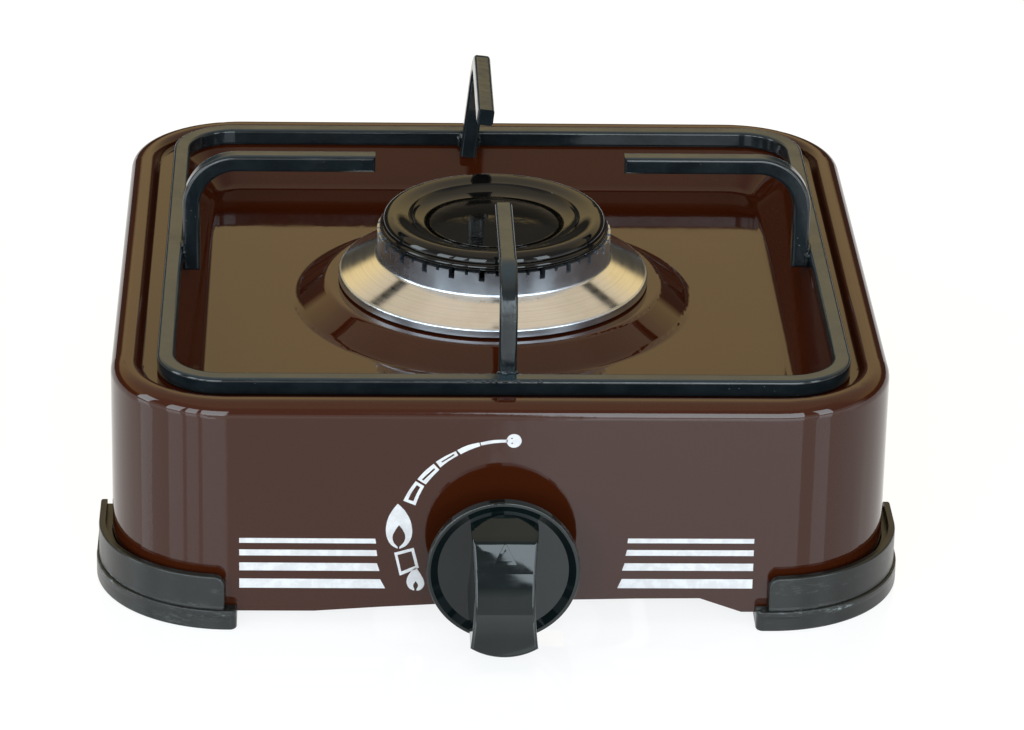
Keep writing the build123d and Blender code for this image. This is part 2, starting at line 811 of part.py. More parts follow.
with BuildPart() as tap_stem:
    rod(across(stem_front), stem_radius, collar_front - stem_front)
    with BuildSketch(across(stem_front)):
        with Locations((0, stem_flat + stem_radius)):
            Rectangle(2 * stem_radius, 2 * stem_radius)
    extrude(amount=stem_flat_length, mode=Mode.SUBTRACT)
    rod(across(collar_front), stem_collar_radius, stem_collar_thickness)
    rod(across(collar_back), stem_radius, stem_neck_length)
    with BuildSketch(across(blade_start)):
        Rectangle(blade_width, blade_thickness)
    extrude(amount=blade_end - blade_start)
save(tap_stem, "tap_stem")

# Compression spring of square wire between the stem's collar and the plug.
with BuildPart() as tap_spring:
    spring_length = plug_front - collar_back - 2 * joint_gap
    spring_rise = spring_length - spring_wire
    with BuildLine():
        coil = Helix(
            spring_rise / spring_coils,
            spring_rise,
            spring_radius,
            center=(0, collar_back + joint_gap + spring_wire / 2, tap_axis_height),
            direction=(0, 1, 0),
        )
    with BuildSketch(Plane(origin=coil @ 0, z_dir=coil % 0)):
        Rectangle(spring_wire, spring_wire)
    sweep(is_frenet=True)
save(tap_spring, "tap_spring")

# ---------------------------------------------------------------- injector, gas pipe, rear inlet

with BuildPart() as injector:
    rod(across(injector_seat), injector_thread_radius, injector_thread_length)
    hex_bar(across(neck_end), injector_hex_flats, injector_hex_length)
    rod(across(injector_shoulder), injector_nose_radius, injector_nose_length)
    bore(across(injector_seat), gas_hole_radius, injector_tip - jet_length - injector_seat)
    bore(across(injector_tip - jet_length), jet_radius, jet_length)
save(injector, "injector")

with BuildPart() as gas_pipe:
    with BuildLine() as pipe_route:
        FilletPolyline(
            (pipe_start, inlet_boss_y, tap_axis_height),
            (pipe_side, inlet_boss_y, tap_axis_height),
            (pipe_side, pipe_end, tap_axis_height),
            radius=pipe_bend_radius,
        )
    with BuildSketch(boss_plane.offset(pipe_start)):
        Circle(pipe_radius)
        Circle(pipe_radius - pipe_wall, mode=Mode.SUBTRACT)
    sweep(path=pipe_route.line)
save(gas_pipe, "gas_pipe")

with BuildPart() as pipe_nut:
    nut_plane = boss_plane.offset(inlet_boss_reach - pipe_nut_overlap)
    hex_bar(nut_plane, pipe_nut_flats, pipe_nut_overlap + pipe_nut_cap)
    bore(nut_plane, inlet_boss_radius + joint_gap, pipe_nut_overlap)
    bore(nut_plane, pipe_radius + joint_gap, pipe_nut_overlap + pipe_nut_cap)
save(pipe_nut, "pipe_nut")

with BuildPart() as hose_tail:
    rod(across(inlet_stub_start, pipe_side), inlet_stub_radius, half - inlet_stub_start)
    hex_bar(across(half, pipe_side), inlet_collar_flats, inlet_collar_thickness)
    rod(across(collar_rear, pipe_side), tail_radius, tail_end - collar_rear)
    chamfer(hose_tail.faces().sort_by(Axis.Y)[-1].edges(), tail_tip_chamfer)
    bore(across(inlet_stub_start, pipe_side), pipe_radius + joint_gap, inlet_socket_length)
    bore(across(pipe_end, pipe_side), tail_bore_radius, tail_end - pipe_end)
    # Grooves that grip the hose.
    for number in range(tail_groove_count):
        groove_y = collar_rear + tail_groove_start + number * tail_groove_pitch
        with BuildSketch(across(groove_y, pipe_side)):
            Circle(tail_radius + cut_margin)
            Circle(tail_radius - tail_groove_depth, mode=Mode.SUBTRACT)
        extrude(amount=tail_groove_width, mode=Mode.SUBTRACT)
save(hose_tail, "hose_tail")

with BuildPart() as inlet_lock_nut:
    lock_nut_plane = across(rear_wall_inner - lock_nut_thickness, pipe_side)
    hex_bar(lock_nut_plane, inlet_collar_flats, lock_nut_thickness)
    bore(lock_nut_plane, inlet_stub_radius + joint_gap, lock_nut_thickness)
save(inlet_lock_nut, "inlet_lock_nut")

# ---------------------------------------------------------------- knob and its clip


def grip_plan(y, inset, top=grip_end_radius):
    """The waisted plan of the grip, seen along the tap's axis, set in all round, and cut off at a height."""
    with BuildSketch(across(y)) as plan:
        end = grip_end_radius
        with BuildLine():
            for side in (-1, 1):
                ThreePointArc(
                    (side * (grip_half_width_end - inset), -end),
                    (side * (grip_half_width_waist - inset), 0),
                    (side * (grip_half_width_end - inset), end),
                )
            for level in (-end, end):
                Line((-grip_half_width_end + inset, level), (grip_half_width_end - inset, level))
        make_face()
        Circle(end - inset, mode=Mode.INTERSECT)
        with Locations((0, top - end)):
            Rectangle(2 * end, 2 * end, mode=Mode.INTERSECT)
    return plan.sketch


def grip_run(points, radius, forward=0.0):
    """One run of the grip, behind (depth, height) points of its side view, with a bulge up to the last."""
    points = [(depth - forward, height) for depth, height in points]
    start, end = points[0], points[-1]
    with BuildPart() as run:
        with BuildSketch(tap_plane) as side_view:
            with BuildLine():
                if len(points) > 2:
                    Polyline(*points[:-1])
                RadiusArc(points[-2], end, -radius)
                Polyline(end, (knob_floor, end[1]), (knob_floor, start[1]), start)
            make_face()
            if len(points) > 2:
                fillet(side_view.vertices().sort_by_distance(points[1])[0], grip_shoulder_radius)
        extrude(amount=grip_half_width_end, both=True)
        extrude(grip_plan(knob_front - arrow_height, 0), amount=knob_reach, mode=Mode.INTERSECT)
        front_faces = run.faces().filter_by(lambda face: face.normal_at().Y < -tolerance)
        rounded = front_faces.edges().filter_by(Axis.X, reverse=True)
        fillet(rounded, grip_edge_fillet)
    return run.part


# Side view of the grip: a flat top, a front below its shoulder, and a long lower run from the crease on.
grip_top = (knob_rim, grip_end_radius)
grip_shoulder = (panel_front - grip_shoulder_reach, grip_shoulder_height)
grip_crease = (panel_front - grip_crease_reach, grip_crease_height)
grip_foot = (knob_front, -grip_end_radius)
lower_run = grip_run([grip_crease, grip_foot], grip_lower_radius)
upper_run = grip_run([grip_top, grip_shoulder, grip_crease], grip_upper_radius)
raised_run = grip_run([grip_top, grip_shoulder, grip_crease], grip_upper_radius, arrow_height)

# Raised triangle on the upper run.
with BuildPart() as knob_arrow:
    with BuildSketch(across(knob_front)):
        with Locations((0, arrow_centre_height)):
            RegularPolygon(arrow_size, 3, rotation=90)
            RegularPolygon(arrow_size - 2 * arrow_line, 3, rotation=90, mode=Mode.SUBTRACT)
    extrude(amount=knob_floor - knob_front)
    add(raised_run, mode=Mode.INTERSECT)

with BuildPart() as knob:
    add(lower_run)
    add(upper_run)
    add(knob_arrow.part)

    # Dished disc behind the grip, with a raised rim.
    turned([
        (knob_back, 0),
        (knob_back, knob_radius),
        (knob_rim, knob_radius),
        (knob_rim, knob_radius - knob_rim_width),
        (knob_floor, knob_radius - knob_rim_width - knob_dish_run),
        (knob_floor, 0),
    ], tap_plane, tap_axis)
    rim_edges = knob.edges().filter_by(GeomType.CIRCLE).filter_by(
        lambda edge: abs(edge.radius - knob_radius) < tolerance
    )
    fillet(rim_edges, knob_rim_fillet)

    # The grip is hollow from behind, deeper below the crease than above it.
    cavity_front = grip_crease[0] + knob_wall
    upper_cavity_front = knob_rim - knob_wall
    extrude(
        grip_plan(upper_cavity_front, knob_wall), amount=knob_back - upper_cavity_front, mode=Mode.SUBTRACT
    )
    extrude(
        grip_plan(cavity_front, knob_wall, grip_crease_height), amount=knob_back - cavity_front,
        mode=Mode.SUBTRACT,
    )

    # Hub with a D-shaped bore; the bore is round where the stem is.
    rod(across(cavity_front), knob_hub_radius, hub_back - cavity_front)
    with BuildSketch(across(knob_bore_bottom)):
        Circle(stem_radius + running_gap)
        with Locations((0, clip_flat - 2 * stem_radius)):
            Rectangle(4 * stem_radius, 4 * stem_radius, mode=Mode.INTERSECT)
    extrude(amount=hub_back - knob_bore_bottom, mode=Mode.SUBTRACT)
    bore(across(stem_front + stem_flat_length - axial_gap), stem_radius + running_gap,
         hub_back - stem_front - stem_flat_length + axial_gap)
save(knob, "knob")

# Leaf spring between the stem's flat and the bore's.
with BuildPart() as knob_clip:
    with BuildSketch(across(stem_front + axial_gap)):
        with Locations((0, stem_flat + (clip_thickness + joint_gap) / 2)):
            Rectangle(clip_width, clip_thickness)
    extrude(amount=clip_length)
save(knob_clip, "knob_clip")
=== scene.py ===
import json
import math

import bmesh
import bpy
from mathutils import Matrix, Vector, noise as mathnoise


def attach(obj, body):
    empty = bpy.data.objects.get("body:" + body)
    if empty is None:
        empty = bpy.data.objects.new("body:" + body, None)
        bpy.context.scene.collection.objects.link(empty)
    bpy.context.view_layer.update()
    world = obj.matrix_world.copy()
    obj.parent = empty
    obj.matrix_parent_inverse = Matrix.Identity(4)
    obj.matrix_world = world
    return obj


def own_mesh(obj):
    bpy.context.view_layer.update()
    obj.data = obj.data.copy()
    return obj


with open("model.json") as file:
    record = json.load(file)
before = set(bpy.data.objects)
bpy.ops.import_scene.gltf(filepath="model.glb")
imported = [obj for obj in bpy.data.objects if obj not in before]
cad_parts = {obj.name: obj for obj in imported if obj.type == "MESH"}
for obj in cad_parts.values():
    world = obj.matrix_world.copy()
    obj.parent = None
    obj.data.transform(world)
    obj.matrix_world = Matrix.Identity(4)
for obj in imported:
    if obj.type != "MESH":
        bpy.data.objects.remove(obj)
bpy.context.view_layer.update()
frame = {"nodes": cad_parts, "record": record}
scene = bpy.context.scene
MM = 0.001


# ---------------------------------------------------------------- node trees

class Graph:
    """Builds the node tree of one material or world. A value handed to add may be a socket or a number."""

    def __init__(self, tree):
        self.tree = tree
        tree.nodes.clear()

    def add(self, kind, inputs=None, **settings):
        node = self.tree.nodes.new("ShaderNode" + kind)
        for name, value in settings.items():
            setattr(node, name, value)
        for name, value in (inputs or {}).items():
            self.put(node.inputs[name], value)
        return node

    def put(self, socket, value):
        if isinstance(value, bpy.types.NodeSocket):
            self.tree.links.new(value, socket)
        else:
            socket.default_value = value

    def math(self, operation, first, second=0.0, clamp=False):
        node = self.add("Math", {0: first, 1: second}, operation=operation, use_clamp=clamp)
        return node.outputs[0]

    def both(self, first, second):
        return self.math("MULTIPLY", first, second)

    def either(self, first, second):
        return self.math("MAXIMUM", first, second)

    def length(self, across, along):
        """The distance from the origin of a point with these two coordinates."""
        squares = [self.math("MULTIPLY", value, value) for value in (across, along)]
        return self.math("SQRT", self.math("ADD", *squares))

    def span(self, value, low, high, out_low=0.0, out_high=1.0):
        """The value's place between low and high, eased and kept within the outer pair."""
        node = self.add(
            "MapRange",
            {"Value": value, "From Min": low, "From Max": high, "To Min": out_low, "To Max": out_high},
            interpolation_type="SMOOTHSTEP",
        )
        return node.outputs[0]

    def mix(self, factor, first, second):
        node = self.add("Mix", {0: factor, 6: first, 7: second}, data_type="RGBA")
        return node.outputs[2]

    def noise(self, vector, scale, detail=2.0, roughness=0.5):
        node = self.add("TexNoise", {"Vector": vector, "Scale": scale, "Detail": detail, "Roughness": roughness})
        return node.outputs[0]

    def stretched(self, vector, scales):
        return self.add("Mapping", {"Vector": vector, "Scale": scales}).outputs[0]

    def bump(self, height, depth, normal=None):
        """Depth is the real height in metres from the lowest to the highest point."""
        inputs = {"Height": height, "Distance": depth, "Strength": 1.0}
        if normal is not None:
            inputs["Normal"] = normal
        return self.add("Bump", inputs).outputs[0]

    def parts(self, vector):
        node = self.add("SeparateXYZ", {0: vector})
        return node.outputs[0], node.outputs[1], node.outputs[2]

    def place(self):
        """The point on the object, in metres."""
        return self.add("TexCoord").outputs["Object"]

    def facing(self):
        """The three numbers of the surface's own direction."""
        return self.parts(self.add("TexCoord").outputs["Normal"])

    def finish(self, **sockets):
        """The surface shader, with each named socket set or linked."""
        shader = self.add("BsdfPrincipled")
        for name, value in sockets.items():
            self.put(shader.inputs[name.replace("_", " ")], value)
        output = self.add("OutputMaterial")
        self.tree.links.new(shader.outputs[0], output.inputs[0])


def new_material(name):
    material = bpy.data.materials.new(name)
    material.use_nodes = True
    return material, Graph(material.node_tree)


def colour(red, green, blue):
    return (red, green, blue, 1.0)


# ---------------------------------------------------------------- materials
# A noise's scale is in waves per metre. Heights and radii are those of the solids, in metres.

def brown_enamel():
    """Glossy chocolate enamel with a little orange peel; the ground coat shows on the unseen side."""
    material, g = new_material("brown_enamel")
    point = g.place()
    x, y, z = g.parts(point)
    nx, ny, nz = g.facing()

    # The reach past the centres of the rounded corners tells the skirt from the rim, all the way round.
    corner_centre, skirt_inner_reach = 0.090, 0.0362
    rim_reach, rim_half_width, rim_underside = 0.029, 0.0072, 0.0755
    faces_out, faces_in, faces_down = 0.04, -0.04, -0.3
    reach = g.length(*[
        g.either(g.math("SUBTRACT", g.math("ABSOLUTE", value), corner_centre), 0.0) for value in (x, y)
    ])
    outward = g.math("ADD", g.math("MULTIPLY", x, nx), g.math("MULTIPLY", y, ny))
    under = g.math("LESS_THAN", nz, faces_down)
    skirt_inside = g.both(
        g.math("GREATER_THAN", reach, skirt_inner_reach), g.math("LESS_THAN", outward, faces_in))
    low_and_out = g.both(g.math("GREATER_THAN", outward, faces_out), g.math("LESS_THAN", z, rim_underside))
    near_rim = g.add("Math", {0: reach, 1: rim_reach, 2: rim_half_width}, operation="COMPARE").outputs[0]
    ground = g.either(under, g.either(skirt_inside, g.both(low_and_out, near_rim)))

    cloud = g.noise(point, 18.0, 3.0)
    speck = g.noise(point, 1900.0, 2.0, 0.6)
    fine = g.mix(g.span(speck, 0.35, 0.65), colour(0.034, 0.0068, 0.0018), colour(0.043, 0.0092, 0.0030))
    top = g.mix(g.span(cloud, 0.3, 0.7), fine, colour(0.0375, 0.0076, 0.0022))
    pits = g.noise(point, 700.0, 3.0, 0.7)
    coat = g.mix(g.span(pits, 0.45, 0.62), colour(0.012, 0.010, 0.011), colour(0.035, 0.030, 0.030))

    smear = g.noise(point, 45.0, 4.0, 0.6)
    gloss = g.span(smear, 0.3, 0.75, 0.035, 0.085)
    rough = g.mix(ground, gloss, g.span(pits, 0.3, 0.7, 0.22, 0.45))
    peel = g.bump(g.noise(point, 210.0, 2.0, 0.4), 0.000014)
    grit = g.bump(g.both(pits, ground), 0.00003, peel)
    g.finish(Base_Color=g.mix(ground, top, coat), Roughness=rough, Normal=grit, IOR=1.45)
    return material


def black_bar_enamel():
    """Black enamel on bent steel bar, with a few runs, a painted blue-grey sheen on the upward faces and painted
    pale speck highlights.
    """
    material, g = new_material("black_bar_enamel")
    point = g.place()
    lumps = g.noise(point, 160.0, 3.0, 0.5)
    specks = g.noise(point, 1100.0, 2.0, 0.7)
    # Painted highlights: scattered pale specks stand in for small glints on the enamel.
    painted_speck_highlights = g.both(g.span(specks, 0.70, 0.76), g.span(g.noise(point, 34.0, 2.0), 0.52, 0.66))
    base = g.mix(g.span(lumps, 0.3, 0.7), colour(0.0040, 0.0068, 0.0088), colour(0.0075, 0.0115, 0.0140))
    upward = g.facing()[2]
    # Painted sheen: faces that look up are made lighter blue-grey, as if lit from above.
    base = g.mix(g.span(upward, 0.6, 0.95), base, colour(0.010, 0.026, 0.038))
    base = g.mix(painted_speck_highlights, base, colour(0.20, 0.22, 0.22))
    smear = g.noise(point, 70.0, 3.0, 0.6)
    rough = g.span(smear, 0.3, 0.7, 0.09, 0.19)
    runs = g.bump(g.noise(point, 240.0, 2.0, 0.45), 0.00006)
    g.finish(Base_Color=base, Roughness=rough, Normal=g.bump(specks, 0.000006, runs), IOR=1.5)
    return material


def black_cap_enamel():
    """Deep glossy black enamel of the burner cap, with fine orange peel and heat haze near its edge."""
    material, g = new_material("black_cap_enamel")
    point = g.place()
    x, y, _ = g.parts(point)
    radius = g.length(x, y)
    cloud = g.noise(point, 60.0, 3.0)
    base = g.mix(g.span(cloud, 0.3, 0.7), colour(0.0020, 0.0022, 0.0022), colour(0.0045, 0.0047, 0.0045))
    haze = g.both(g.span(radius, 0.0385, 0.0402), g.span(cloud, 0.35, 0.7))
    rough = g.math("ADD", g.span(cloud, 0.3, 0.7, 0.03, 0.07), g.math("MULTIPLY", haze, 0.12))
    peel = g.bump(g.noise(point, 260.0, 2.0, 0.4), 0.000022)

    # The dish's floor hangs a little to the front, so it mirrors the front arm as a streak.
    dish_edge, dish_start, dish_back, tilt = 0.0247, 0.0222, 0.024, 0.14
    hang = g.both(g.span(radius, dish_edge, dish_start), g.math("SUBTRACT", dish_back, y))
    g.finish(Base_Color=base, Roughness=rough, Normal=g.bump(hang, tilt, peel), IOR=1.45)
    return material


def turned_aluminium():
    """Polished on the cone, satin with a painted cool blue reflection on the port wall and the lip, as cast
    below; turning marks run round it.
    """
    material, g = new_material("turned_aluminium")
    point = g.place()
    x, y, z = g.parts(point)
    radius = g.length(x, y)
    port_wall = g.both(g.span(radius, 0.0424, 0.0414), g.span(z, 0.0790, 0.0800))
    lip = g.both(g.span(radius, 0.0531, 0.0535), g.span(z, 0.0690, 0.0696))
    satined = g.either(port_wall, lip)
    below = g.span(z, 0.0702, 0.0694)
    inside = g.span(radius, 0.0378, 0.0372)
    cast = g.either(below, inside)

    rise = 0.7                      # how much height counts beside radius, so the marks also cross the wall
    along_profile = g.math("ADD", radius, g.math("MULTIPLY", z, rise))
    lines = g.add("CombineXYZ", {0: along_profile, 1: 0.0, 2: 0.0}).outputs[0]
    turning = g.noise(lines, 2600.0, 3.0, 0.7)
    broad = g.noise(lines, 420.0, 2.0, 0.6)
    stain = g.noise(point, 55.0, 4.0, 0.6)
    grain = g.noise(point, 900.0, 3.0, 0.7)

    bright = g.mix(g.span(turning, 0.3, 0.7), colour(0.76, 0.765, 0.765), colour(0.86, 0.87, 0.87))
    bright = g.mix(g.math("MULTIPLY", g.span(stain, 0.5, 0.75), 0.35), bright, colour(0.66, 0.62, 0.56))
    # Painted reflection: the satin colour is tinted blue for the cool light that the port wall mirrors.
    satin_with_painted_blue_reflection = g.mix(g.span(stain, 0.3, 0.7), colour(0.60, 0.66, 0.74), colour(0.76, 0.81, 0.88))
    dull = g.mix(g.span(grain, 0.3, 0.7), colour(0.42, 0.42, 0.42), colour(0.58, 0.58, 0.57))
    base = g.mix(cast, g.mix(satined, bright, satin_with_painted_blue_reflection), dull)

    polish = g.span(broad, 0.3, 0.7, 0.10, 0.17)
    satin_rough = g.span(stain, 0.3, 0.7, 0.26, 0.36)
    cast_rough = g.span(grain, 0.3, 0.7, 0.42, 0.58)
    rough = g.mix(cast, g.mix(satined, polish, satin_rough), cast_rough)
    rings = g.bump(g.both(turning, g.math("SUBTRACT", 1.0, cast)), 0.0000016)
    waves = g.bump(broad, 0.000006, rings)
    skin = g.bump(g.both(grain, cast), 0.00005, waves)
    g.finish(Base_Color=base, Metallic=1.0, Roughness=rough, Normal=skin)
    return material


def cast_metal():
    """Grey sand-cast aluminium with an even, grainy skin."""
    material, g = new_material("cast_metal")
    point = g.place()
    grain = g.noise(point, 800.0, 4.0, 0.7)
    stain = g.noise(point, 50.0, 3.0, 0.6)
    base = g.mix(g.span(grain, 0.3, 0.7), colour(0.40, 0.40, 0.40), colour(0.58, 0.58, 0.57))
    base = g.mix(g.math("MULTIPLY", g.span(stain, 0.5, 0.75), 0.5), base, colour(0.34, 0.32, 0.29))
    rough = g.span(grain, 0.3, 0.7, 0.42, 0.62)
    g.finish(Base_Color=base, Metallic=1.0, Roughness=rough, Normal=g.bump(grain, 0.00007))
    return material


def moulded_foot():
    """Dark green-grey satin plastic, scuffed pale, mostly where the flange stands out."""
    material, g = new_material("moulded_foot")
    point = g.place()
    z = g.parts(point)[2]
    cloud = g.noise(point, 60.0, 3.0)
    base = g.mix(g.span(cloud, 0.3, 0.7), colour(0.0060, 0.0074, 0.0072), colour(0.0095, 0.0115, 0.0110))
    patches = g.noise(g.stretched(point, (22.0, 22.0, 160.0)), 1.0, 4.0, 0.7)
    streaks = g.noise(g.stretched(point, (260.0, 260.0, 900.0)), 1.0, 4.0, 0.75)
    flange = g.both(g.span(z, 0.0044, 0.0058), g.span(z, 0.0086, 0.0074))
    worn = g.both(g.span(patches, 0.50, 0.66), g.span(streaks, 0.48, 0.62))
    wear_anywhere, wear_on_flange = 0.10, 0.9
    share = g.math("ADD", g.math("MULTIPLY", flange, wear_on_flange), wear_anywhere)
    scuff = g.math("MULTIPLY", worn, share, clamp=True)
    base = g.mix(scuff, base, colour(0.30, 0.34, 0.34))
    rough = g.math("ADD", g.span(cloud, 0.3, 0.7, 0.27, 0.36), g.math("MULTIPLY", scuff, 0.25))
    texture = g.bump(g.noise(point, 1500.0, 3.0, 0.6), 0.000012)
    dents = g.bump(g.both(streaks, flange), 0.00022, texture)
    g.finish(Base_Color=base, Roughness=rough, Normal=dents, IOR=1.46)
    return material


def moulded_knob():
    """Glossy near-black moulding with faint handling marks on its faces."""
    material, g = new_material("moulded_knob")
    point = g.place()
    cloud = g.noise(point, 70.0, 3.0)
    base = g.mix(g.span(cloud, 0.3, 0.7), colour(0.0026, 0.0058, 0.0062), colour(0.0044, 0.0084, 0.0088))
    smears = g.noise(g.stretched(point, (60.0, 60.0, 140.0)), 1.0, 4.0, 0.65)
    rough = g.span(smears, 0.40, 0.75, 0.012, 0.05)
    sink = g.bump(g.noise(point, 110.0, 1.0, 0.3), 0.000006)
    g.finish(Base_Color=base, Roughness=rough, Normal=sink, IOR=1.45)
    return material


def machined(name, low, high, rough_low, rough_high, depth):
    """Bare or plated metal turned on a lathe: fine marks, slight stain and a rougher skin in patches."""
    material, g = new_material(name)
    point = g.place()
    marks = g.noise(g.stretched(point, (900.0, 2600.0, 900.0)), 1.0, 3.0, 0.6)
    stain = g.noise(point, 90.0, 4.0, 0.6)
    base = g.mix(g.span(stain, 0.3, 0.75), colour(*high), colour(*low))
    base = g.mix(g.math("MULTIPLY", g.span(marks, 0.55, 0.75), 0.3), base, colour(*low))
    rough = g.span(stain, 0.3, 0.7, rough_low, rough_high)
    g.finish(Base_Color=base, Metallic=1.0, Roughness=rough, Normal=g.bump(marks, depth))
    return material


def white_print():
    """Screen-printed white enamel, a little uneven in thickness."""
    material, g = new_material("white_print")
    patches = g.noise(g.place(), 350.0, 3.0, 0.6)
    base = g.mix(g.span(patches, 0.35, 0.7), colour(0.74, 0.73, 0.74), colour(0.62, 0.60, 0.61))
    rough = g.span(patches, 0.3, 0.7, 0.16, 0.3)
    g.finish(Base_Color=base, Roughness=rough, Normal=g.bump(patches, 0.000008), IOR=1.5)
    return material


# One finish for each of the record's material slots.
finishes = {
    "enamel": brown_enamel(),
    "black_enamel": black_bar_enamel(),
    "cap_enamel": black_cap_enamel(),
    "polished_aluminium": turned_aluminium(),
    "cast_aluminium": cast_metal(),
    "foot_plastic": moulded_foot(),
    "knob_plastic": moulded_knob(),
    "brass": machined("turned_brass", (0.46, 0.31, 0.12), (0.74, 0.56, 0.27), 0.18, 0.34, 0.000004),
    "pipe_steel": machined("drawn_steel", (0.34, 0.33, 0.32), (0.52, 0.51, 0.50), 0.25, 0.42, 0.000005),
    "zinc_steel": machined("zinc_plate", (0.46, 0.46, 0.44), (0.66, 0.66, 0.63), 0.24, 0.40, 0.000004),
    "spring_steel": machined("spring_wire", (0.24, 0.24, 0.25), (0.42, 0.42, 0.43), 0.22, 0.38, 0.000003),
}
for entry in frame["record"]["subparts"]:
    for slot in frame["nodes"][entry["node"]].material_slots:
        slot.material = finishes[entry["material_slot"]]


def linked(name, data):
    piece = bpy.data.objects.new(name, data)
    scene.collection.objects.link(piece)
    return piece


# ---------------------------------------------------------------- print on the front panel

PANEL_Y = -0.130
PRINT_THICKNESS = 0.00004
SAME_POINT = 1e-6
SHARP, ROUND = False, True
print_finish = white_print()


def outline(curve, points, rounded, corners):
    """One closed outline, in millimetres across and up the panel; a rounded one has sharp points at corners."""
    spline = curve.splines.new("BEZIER")
    spline.bezier_points.add(len(points) - 1)
    for index, (knot, (across, up)) in enumerate(zip(spline.bezier_points, points)):
        knot.co = (across * MM, up * MM, 0.0)
        kind = "AUTO" if rounded and index not in corners else "VECTOR"
        knot.handle_left_type = knot.handle_right_type = kind
    spline.use_cyclic_u = True


def printed(name, *outlines):
    """A thin flat piece on the panel. An outline is (points, rounded, corners); an inner one is a hole."""
    curve = bpy.data.curves.new(name, "CURVE")
    curve.dimensions = "2D"
    curve.fill_mode = "BOTH"
    curve.extrude = PRINT_THICKNESS / 2
    curve.resolution_u = 8
    for points, rounded, corners in outlines:
        outline(curve, points, rounded, corners)
    drawn = linked(name + "_curve", curve)
    mesh = bpy.data.meshes.new_from_object(drawn.evaluated_get(bpy.context.evaluated_depsgraph_get()))
    bpy.data.objects.remove(drawn)
    upright = Matrix.Rotation(math.pi / 2, 4, "X")
    mesh.transform(Matrix.Translation((0, PANEL_Y - PRINT_THICKNESS / 2, 0)) @ upright)
    weld = bmesh.new()
    weld.from_mesh(mesh)
    bmesh.ops.remove_doubles(weld, verts=weld.verts, dist=SAME_POINT)
    bmesh.ops.recalc_face_normals(weld, faces=weld.faces)
    weld.to_mesh(mesh)
    weld.free()
    mesh.name = name
    mesh.materials.clear()
    mesh.materials.append(print_finish)
    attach(linked(name, mesh), "housing")


def ring_of(centre, radius, count=12):
    return [
        (centre[0] + radius * math.cos(2 * math.pi * step / count),
         centre[1] + radius * math.sin(2 * math.pi * step / count))
        for step in range(count)
    ]


# Off mark and the five steps of the flow scale.
STEP_CORNERS = (0, 2, 3, 5)
printed(
    "print_off_dot",
    (ring_of((3.2, 67.0), 2.45), ROUND, ()),
    (ring_of((2.5, 67.9), 0.26, 8), ROUND, ()),
    (ring_of((2.6, 66.1), 0.26, 8), ROUND, ()),
)
printed(
    "print_step_1",
    ([(1.1, 67.45), (-3.8, 67.2), (-7.8, 66.35), (-7.5, 65.3), (-3.5, 66.1), (1.1, 66.45)], ROUND, STEP_CORNERS),
)
printed(
    "print_step_2",
    ([(-8.2, 66.35), (-11.9, 65.35), (-15.4, 63.6), (-14.2, 62.1), (-11.2, 63.7), (-7.8, 65.1)],
     ROUND, STEP_CORNERS),
)
printed(
    "print_step_3",
    ([(-15.8, 63.2), (-19.2, 61.4), (-22.3, 59.3), (-20.8, 57.3), (-18.0, 59.7), (-15.0, 61.7)],
     ROUND, STEP_CORNERS),
    ([(-16.5, 62.2), (-20.5, 59.45), (-20.25, 59.05), (-16.2, 61.75)], SHARP, ()),
)
printed(
    "print_step_4",
    ([(-23.0, 58.6), (-25.8, 56.0), (-28.3, 53.0), (-25.5, 51.1), (-23.3, 54.0), (-21.1, 56.5)],
     ROUND, STEP_CORNERS),
    ([(-22.9, 57.0), (-26.8, 53.0), (-26.35, 52.45), (-22.4, 56.6)], SHARP, ()),
)
printed(
    "print_step_5",
    ([(-28.8, 52.3), (-31.1, 48.7), (-32.8, 45.2), (-28.8, 43.5), (-27.6, 47.0), (-26.0, 50.5)],
     ROUND, STEP_CORNERS),
    ([(-28.4, 50.9), (-30.1, 48.2), (-31.2, 45.6), (-29.5, 45.0), (-28.5, 47.6), (-27.3, 50.1)],
     ROUND, STEP_CORNERS),
)

# High flame, pan mark and low flame.
printed(
    "print_high_flame",
    ([(-34.5, 27.6), (-36.6, 29.0), (-37.9, 31.3), (-38.4, 33.6), (-38.3, 36.3), (-37.6, 39.1), (-36.3, 41.7),
      (-34.6, 44.1), (-33.1, 42.6), (-31.5, 40.3), (-30.4, 37.9), (-29.9, 35.6), (-29.8, 33.0), (-30.4, 30.7),
      (-31.8, 28.7), (-33.9, 27.55), (-33.9, 28.3), (-32.5, 30.0), (-32.0, 31.9), (-32.6, 34.0), (-34.1, 36.3),
      (-35.4, 34.2), (-36.2, 32.0), (-35.8, 29.9), (-34.5, 28.3)],
     ROUND, (0, 7, 15, 16, 20, 24)),
)
printed(
    "print_pan_mark",
    ([(-35.6, 26.1), (-29.2, 28.0), (-27.4, 20.6), (-33.7, 17.7)], SHARP, ()),
    ([(-34.5, 25.3), (-29.9, 26.7), (-28.6, 21.3), (-33.2, 19.2)], SHARP, ()),
)
printed(
    "print_low_flame",
    ([(-28.9, 12.2), (-30.3, 12.9), (-31.3, 14.6), (-31.3, 16.5), (-30.5, 18.4), (-29.1, 20.2), (-28.2, 20.6),
      (-26.7, 18.0), (-25.7, 15.8), (-25.7, 13.9), (-27.0, 12.4), (-28.1, 12.2), (-28.1, 12.7), (-27.6, 14.1),
      (-28.4, 15.7), (-29.2, 14.2), (-28.8, 12.7)],
     ROUND, (0, 6, 11, 12, 14, 16)),
)

